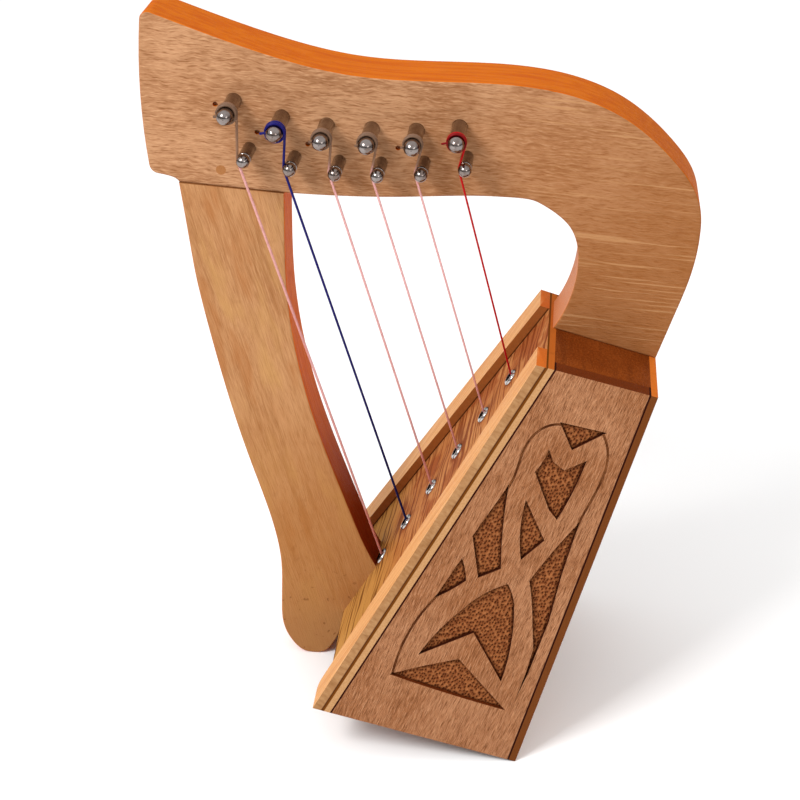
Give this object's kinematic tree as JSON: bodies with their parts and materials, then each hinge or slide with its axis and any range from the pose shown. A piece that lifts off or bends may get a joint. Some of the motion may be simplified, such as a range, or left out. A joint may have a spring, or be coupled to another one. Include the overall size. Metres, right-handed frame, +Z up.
{
  "type": "lap harp",
  "caption": "Small lap harp: flat neck and pillar, tapered soundbox with carved sides, nylon strings on turning pins.",
  "frame": {"origin": "on the ground, in the middle of the harp's outline", "axes": "+Z up, +X from the pillar to the soundbox, +Y from the string side to the far side"},
  "size_m": [0.1755, 0.117, 0.2307],
  "materials": {
    "neck_wood": "satin",
    "pillar_wood": "satin",
    "soundboard_wood": "satin",
    "rail_wood": "satin",
    "panel_wood": "satin",
    "back_wood": "satin",
    "block_wood": "satin",
    "inner_wood": "satin",
    "plug_wood": "satin",
    "pin_metal": "polished",
    "grommet_metal": "polished",
    "screw_steel": "satin",
    "clear_nylon": "gloss",
    "blue_nylon": "gloss",
    "red_nylon": "gloss"
  },
  "bodies": {
    "frame": {"neck": "neck_wood", "neck_plug": "plug_wood", "pillar": "pillar_wood", "soundboard": "soundboard_wood", "rail_near": "rail_wood", "rail_far": "rail_wood", "string_rib": "inner_wood", "side_panel_near": "panel_wood", "side_panel_far": "panel_wood", "back_panel": "back_wood", "top_block": "block_wood", "bottom_block": "block_wood", "pillar_block": "inner_wood", "lining_front_near": "inner_wood", "lining_front_far": "inner_wood", "lining_back_near": "inner_wood", "lining_back_far": "inner_wood", "neck_pillar_dowels": "inner_wood", "neck_foot_dowels": "inner_wood", "pillar_screws": "screw_steel", "grommet_1": "grommet_metal", "bridge_pin_1": "pin_metal", "string_1": "clear_nylon", "grommet_2": "grommet_metal", "bridge_pin_2": "pin_metal", "string_2": "blue_nylon", "grommet_3": "grommet_metal", "bridge_pin_3": "pin_metal", "string_3": "clear_nylon", "grommet_4": "grommet_metal", "bridge_pin_4": "pin_metal", "string_4": "clear_nylon", "grommet_5": "grommet_metal", "bridge_pin_5": "pin_metal", "string_5": "clear_nylon", "grommet_6": "grommet_metal", "bridge_pin_6": "pin_metal", "string_6": "red_nylon"},
    "tuner_1": {"tuning_pin_1": "pin_metal", "string_winding_1": "clear_nylon"},
    "tuner_2": {"tuning_pin_2": "pin_metal", "string_winding_2": "blue_nylon"},
    "tuner_3": {"tuning_pin_3": "pin_metal", "string_winding_3": "clear_nylon"},
    "tuner_4": {"tuning_pin_4": "pin_metal", "string_winding_4": "clear_nylon"},
    "tuner_5": {"tuning_pin_5": "pin_metal", "string_winding_5": "clear_nylon"},
    "tuner_6": {"tuning_pin_6": "pin_metal", "string_winding_6": "red_nylon"}
  },
  "joints": [
    {"name": "tuner_1_turn", "type": "hinge", "parent": "frame", "child": "tuner_1", "pos_m": [-0.0583, 0.0012, 0.2036], "axis": [0, -1, 0], "range_deg": [-900, 60]},
    {"name": "tuner_2_turn", "type": "hinge", "parent": "frame", "child": "tuner_2", "pos_m": [-0.0434, 0.0012, 0.1988], "axis": [0, -1, 0], "range_deg": [-900, 60]},
    {"name": "tuner_3_turn", "type": "hinge", "parent": "frame", "child": "tuner_3", "pos_m": [-0.0294, 0.0012, 0.1967], "axis": [0, -1, 0], "range_deg": [-900, 60]},
    {"name": "tuner_4_turn", "type": "hinge", "parent": "frame", "child": "tuner_4", "pos_m": [-0.0154, 0.0012, 0.196], "axis": [0, -1, 0], "range_deg": [-900, 60]},
    {"name": "tuner_5_turn", "type": "hinge", "parent": "frame", "child": "tuner_5", "pos_m": [-0.0015, 0.0012, 0.196], "axis": [0, -1, 0], "range_deg": [-900, 60]},
    {"name": "tuner_6_turn", "type": "hinge", "parent": "frame", "child": "tuner_6", "pos_m": [0.0118, 0.0012, 0.1976], "axis": [0, -1, 0], "range_deg": [-900, 60]}
  ]
}
